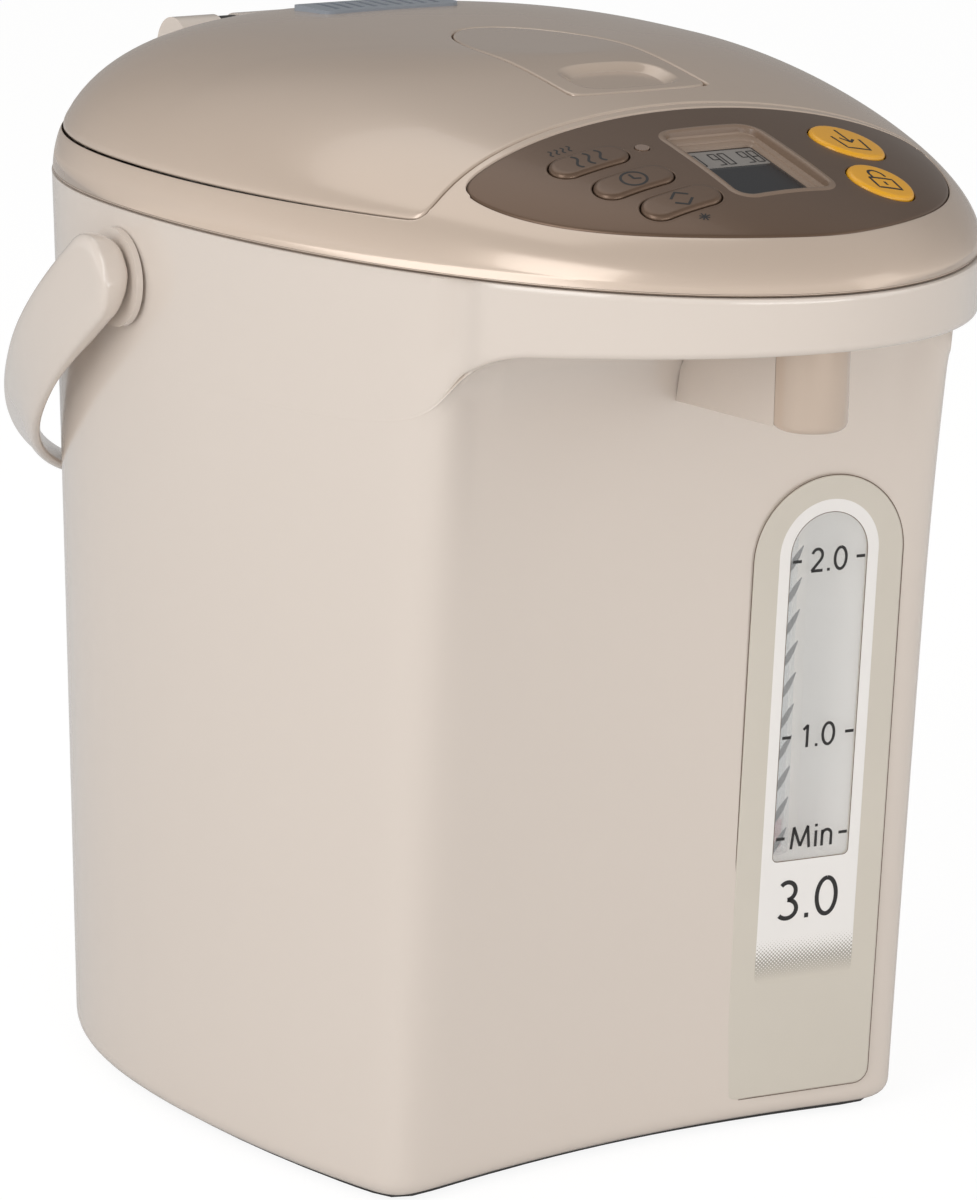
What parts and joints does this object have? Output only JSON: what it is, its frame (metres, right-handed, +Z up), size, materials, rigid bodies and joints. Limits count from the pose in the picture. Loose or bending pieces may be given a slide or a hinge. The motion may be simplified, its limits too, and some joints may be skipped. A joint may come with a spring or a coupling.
{
  "type": "electric thermo pot",
  "caption": "Electric thermo pot with a hinged domed lid, push-button panel over a shrouded spout, upright water gauge and a swinging carry handle.",
  "frame": {"origin": "on the ground under the axis of the body's shoulder, at the underside of the feet", "axes": "+Z up, -Y towards the spout, +X to the pot's left seen from behind the spout"},
  "size_m": [0.2368, 0.3113, 0.29],
  "materials": {
    "champagne_gloss": "glossy",
    "plate_gloss": "glossy",
    "plate_satin": "satin",
    "window_clear": "clear",
    "tube_clear": "clear",
    "white_moulding": "satin",
    "dark_moulding": "satin",
    "taupe_panel": "fine sparkle",
    "yellow_gloss": "glossy",
    "display_glass": "glossy",
    "amber_lens": "clear",
    "board_green": "satin",
    "pin_steel": "satin",
    "vessel_steel": "brushed",
    "heater_alloy": "cast",
    "impeller_tan": "satin",
    "float_red": "glossy",
    "vent_grey": "satin",
    "foot_rubber": "matte",
    "gasket_rubber": "matte"
  },
  "bodies": {
    "pot": {"body_casing": "champagne_gloss", "base_cover": "dark_moulding", "base_feet": "foot_rubber", "base_screws": "pin_steel", "chassis": "white_moulding", "upper_frame": "champagne_gloss", "hinge_block": "champagne_gloss", "hinge_pin": "pin_steel", "inner_vessel": "vessel_steel", "heater_plate": "heater_alloy", "thermostat": "white_moulding", "pump_housing": "white_moulding", "pump_motor": "dark_moulding", "lower_elbow": "white_moulding", "gauge_tube": "tube_clear", "gauge_channel": "white_moulding", "upper_elbow": "white_moulding", "spout_nozzle": "champagne_gloss", "spout_pod": "champagne_gloss", "gauge_plate": "plate_satin", "gauge_window": "window_clear", "control_panel": "taupe_panel", "display_bezel": "taupe_panel", "lcd_module": "display_glass", "control_board": "board_green", "indicator_lens": "amber_lens", "latch_keeper": "dark_moulding", "power_inlet": "dark_moulding", "power_board": "board_green", "handle_bosses": "champagne_gloss"},
    "lid": {"lid_shell": "champagne_gloss", "lid_inner": "white_moulding", "inner_cover": "vessel_steel", "lid_gasket": "gasket_rubber", "lid_hinge_arm": "dark_moulding", "lid_screws": "pin_steel", "vent_cover": "vent_grey", "lever_pin": "pin_steel"},
    "lever": {"release_lever": "plate_gloss"},
    "bolt": {"latch_bolt": "white_moulding"},
    "handle": {"carry_handle": "champagne_gloss", "handle_pins": "pin_steel"},
    "reboil": {"reboil_button": "taupe_panel"},
    "timer": {"timer_button": "taupe_panel"},
    "select": {"select_button": "taupe_panel"},
    "pour": {"pour_button": "yellow_gloss"},
    "lock": {"lock_button": "yellow_gloss"},
    "float": {"level_float": "float_red"},
    "impeller": {"pump_impeller": "impeller_tan"}
  },
  "joints": [
    {"name": "lid_hinge", "type": "hinge", "parent": "pot", "child": "lid", "pos_m": [0, 0.1032, 0.2716], "axis": [-1, 0, 0], "range_deg": [0, 95]},
    {"name": "lever_tilt", "type": "hinge", "parent": "lid", "child": "lever", "pos_m": [0, -0.012, 0.2828], "axis": [1, 0, 0], "range_deg": [0, 1.6], "stiffness_Nm_per_rad": 1, "springref_deg": -2.86},
    {"name": "bolt_slide", "type": "slide", "parent": "lid", "child": "bolt", "axis": [0, 1, 0], "range_m": [0, 0.0045]},
    {"name": "handle_swing", "type": "hinge", "parent": "pot", "child": "handle", "pos_m": [0, 0, 0.231], "axis": [1, 0, 0], "range_deg": [0, 150]},
    {"name": "reboil_press", "type": "slide", "parent": "pot", "child": "reboil", "axis": [0.1724, 0.2417, -0.9549], "range_m": [0, 0.001], "stiffness_N_per_m": 400, "springref_m": -0.0005},
    {"name": "timer_press", "type": "slide", "parent": "pot", "child": "timer", "axis": [0.1728, 0.2736, -0.9462], "range_m": [0, 0.001], "stiffness_N_per_m": 400, "springref_m": -0.0005},
    {"name": "select_press", "type": "slide", "parent": "pot", "child": "select", "axis": [0.1687, 0.317, -0.9333], "range_m": [0, 0.001], "stiffness_N_per_m": 400, "springref_m": -0.0005},
    {"name": "pour_press", "type": "slide", "parent": "pot", "child": "pour", "axis": [-0.1598, 0.2463, -0.9559], "range_m": [0, 0.001], "stiffness_N_per_m": 400, "springref_m": -0.0005},
    {"name": "lock_press", "type": "slide", "parent": "pot", "child": "lock", "axis": [-0.1642, 0.3172, -0.9341], "range_m": [0, 0.001], "stiffness_N_per_m": 400, "springref_m": -0.0005},
    {"name": "float_rise", "type": "slide", "parent": "pot", "child": "float", "axis": [0, 0, 1], "range_m": [0, 0.105]},
    {"name": "impeller_spin", "type": "hinge", "parent": "pot", "child": "impeller", "pos_m": [0.026, -0.028, 0.035], "axis": [0, 0, 1], "continuous": true}
  ],
  "couplings": [
    {"joint": "bolt_slide", "follows": "lever_tilt", "m_per_rad": 0.15}
  ]
}
